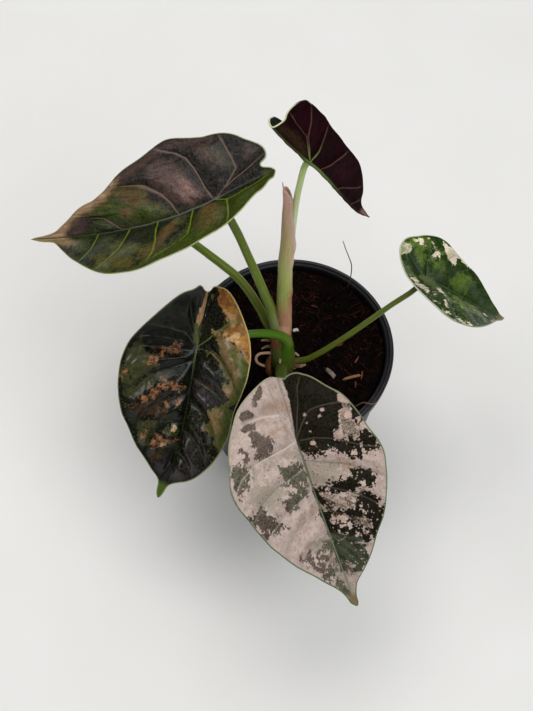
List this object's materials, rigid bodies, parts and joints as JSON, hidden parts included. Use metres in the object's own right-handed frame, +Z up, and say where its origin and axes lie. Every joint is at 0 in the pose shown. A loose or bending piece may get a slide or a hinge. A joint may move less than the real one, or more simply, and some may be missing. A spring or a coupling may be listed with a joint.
{
  "type": "potted alocasia azlanii",
  "caption": "Young jewel alocasia with variegated, veined, drip-tipped blades on slender petioles, rooted in coir in a round black nursery pot.",
  "frame": {"origin": "middle of the flat underside of the pot", "axes": "+Z up along the pot's axis, -Y towards the side the largest blade hangs over, +X to the right seen from there"},
  "size_m": [0.2179, 0.1772, 0.247],
  "materials": {
    "pot": "satin",
    "substrate": "matte",
    "stem": "satin",
    "petiole_green": "satin",
    "petiole_pale": "satin",
    "petiole_white": "satin",
    "sheath": "satin",
    "root": "matte",
    "dry_husk": "matte",
    "coir": "matte",
    "bark": "matte",
    "perlite": "matte",
    "blade_dark": "gloss",
    "blade_pink": "satin",
    "blade_green": "satin",
    "blade_purple": "satin"
  },
  "bodies": {
    "root": {"pot": "pot", "substrate": "substrate", "stem": "stem", "petiole_a": "petiole_pale", "petiole_b": "petiole_green", "petiole_c": "petiole_green", "petiole_d": "petiole_green", "petiole_e": "petiole_white", "petiole_f": "petiole_green", "sheath": "sheath", "blade_a": "blade_dark", "blade_b": "blade_dark", "blade_c": "blade_pink", "blade_d": "blade_green", "blade_e": "blade_purple", "blade_f": "blade_dark", "root_loop": "root", "root_nub_a": "root", "root_nub_b": "root", "root_nub_c": "root", "root_nub_d": "root", "root_nub_e": "root", "dry_sheath_left": "dry_husk", "dry_sheath_right": "dry_husk", "coir_fibre_a": "coir", "coir_fibre_b": "coir", "bark_chip_pale": "bark", "bark_chip_tan": "bark", "perlite_grain": "perlite"}
  },
  "joints": []
}
